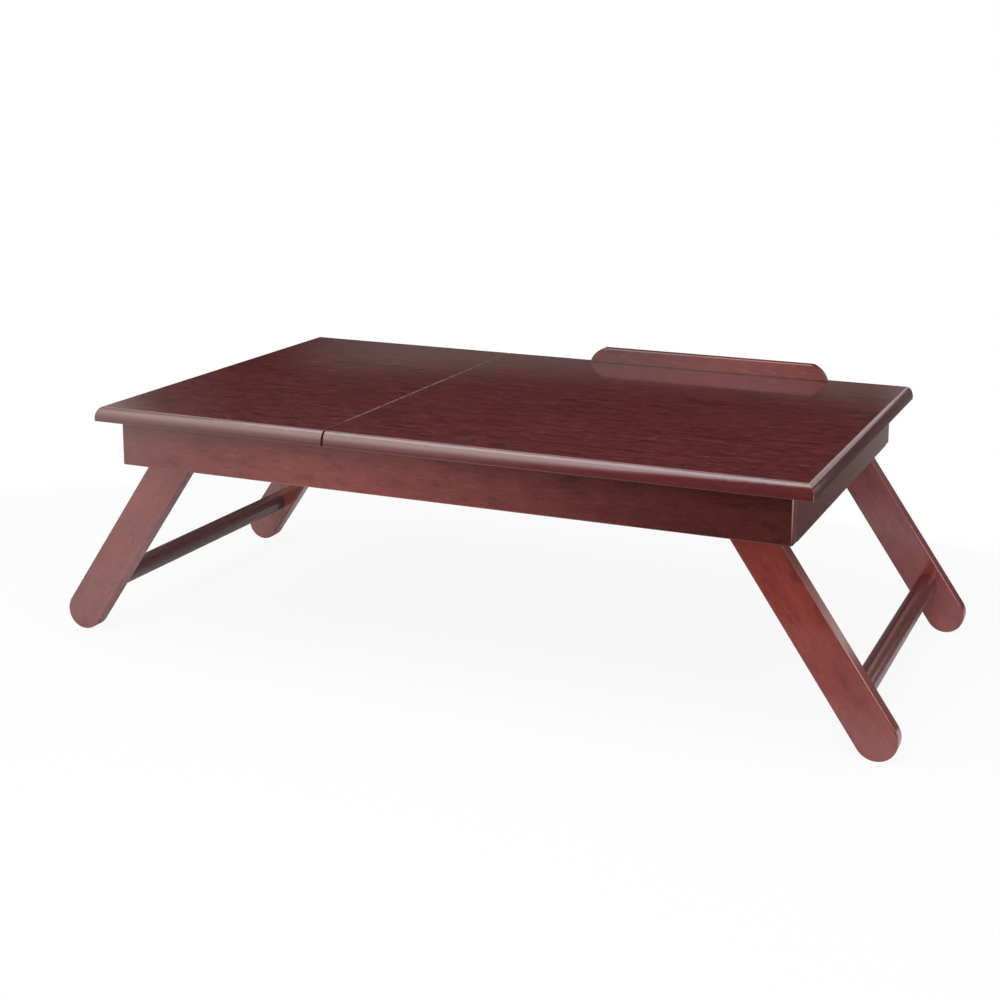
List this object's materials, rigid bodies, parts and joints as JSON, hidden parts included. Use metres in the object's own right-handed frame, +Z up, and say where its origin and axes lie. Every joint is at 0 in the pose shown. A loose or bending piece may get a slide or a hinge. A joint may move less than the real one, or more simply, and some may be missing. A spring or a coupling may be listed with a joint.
{
  "type": "folding lap table with tilting top and drawer",
  "caption": "Low wooden laptop table on folding splayed legs, with a fixed side panel over a sliding drawer and a hinged top part that tilts on a wire prop.",
  "frame": {"origin": "on the floor under the middle of the top", "axes": "+Z up; +X towards the right end, where the tilting part of the top is; +Y towards the user's side, where the hinges and the book ledge are"},
  "size_m": [0.754, 0.376, 0.2308],
  "materials": {
    "top_wood": "semi-gloss dark mahogany stain",
    "apron_wood": "semi-gloss mahogany stain",
    "leg_wood": "semi-gloss mahogany stain",
    "inner_wood": "thin mahogany stain",
    "bright_steel": "zinc plated",
    "brassed_steel": "brass plated",
    "screw_steel": "zinc plated"
  },
  "bodies": {
    "frame": {"fixed_top_panel": "top_wood", "user_side_apron": "apron_wood", "far_side_apron": "apron_wood", "right_end_apron": "apron_wood", "left_end_rail": "apron_wood", "left_end_post_user": "apron_wood", "left_end_post_far": "apron_wood", "corner_glue_blocks": "inner_wood", "divider_rail": "apron_wood", "divider_screws": "screw_steel", "drawer_runner_user": "inner_wood", "drawer_runner_far": "inner_wood", "runner_screws": "screw_steel", "drawer_stop_block": "inner_wood", "drawer_stop_screws": "screw_steel", "leg_pivot_screws": "screw_steel", "leg_spacer_washers": "bright_steel", "leg_head_washers": "bright_steel", "left_hinge_frame_leaf": "brassed_steel", "right_hinge_frame_leaf": "brassed_steel", "hinge_frame_screws": "screw_steel", "hinge_pins": "brassed_steel", "notch_plate_left": "bright_steel", "notch_plate_right": "bright_steel", "notch_plate_screws": "screw_steel"},
    "flip_top": {"flip_top_panel": "top_wood", "book_ledge": "top_wood", "ledge_screws": "screw_steel", "left_hinge_panel_leaf": "brassed_steel", "right_hinge_panel_leaf": "brassed_steel", "hinge_panel_screws": "screw_steel", "left_bail_saddle": "brassed_steel", "right_bail_saddle": "brassed_steel", "saddle_screws": "screw_steel"},
    "prop": {"prop_bail": "bright_steel"},
    "drawer": {"drawer_front": "apron_wood", "drawer_side_user": "inner_wood", "drawer_side_far": "inner_wood", "drawer_back": "inner_wood", "drawer_bottom": "inner_wood", "drawer_knob": "apron_wood", "drawer_knob_screw": "screw_steel"},
    "left_legs": {"left_user_leg": "leg_wood", "left_far_leg": "leg_wood", "left_cross_dowel": "leg_wood"},
    "right_legs": {"right_user_leg": "leg_wood", "right_far_leg": "leg_wood", "right_cross_dowel": "leg_wood"}
  },
  "joints": [
    {"name": "left_leg_fold", "type": "hinge", "parent": "frame", "child": "left_legs", "pos_m": [-0.24836, 0, 0.18125], "axis": [0, -1, 0], "range_deg": [0, 124.2]},
    {"name": "right_leg_fold", "type": "hinge", "parent": "frame", "child": "right_legs", "pos_m": [0.24836, 0, 0.18125], "axis": [0, 1, 0], "range_deg": [0, 124.2]},
    {"name": "drawer_slide", "type": "slide", "parent": "frame", "child": "drawer", "axis": [-1, 0, 0], "range_m": [0, 0.13]},
    {"name": "flip_top_tilt", "type": "hinge", "parent": "frame", "child": "flip_top", "pos_m": [0.1124, 0.1772, 0.2035], "axis": [-1, 0, 0], "range_deg": [0, 33]},
    {"name": "prop_swing", "type": "hinge", "parent": "flip_top", "child": "prop", "pos_m": [0.0914, 0.07224, 0.2007], "axis": [1, 0, 0], "range_deg": [0, 66]}
  ],
  "couplings": [
    {"joint": "prop_swing", "follows": "flip_top_tilt", "ratio": 2}
  ]
}
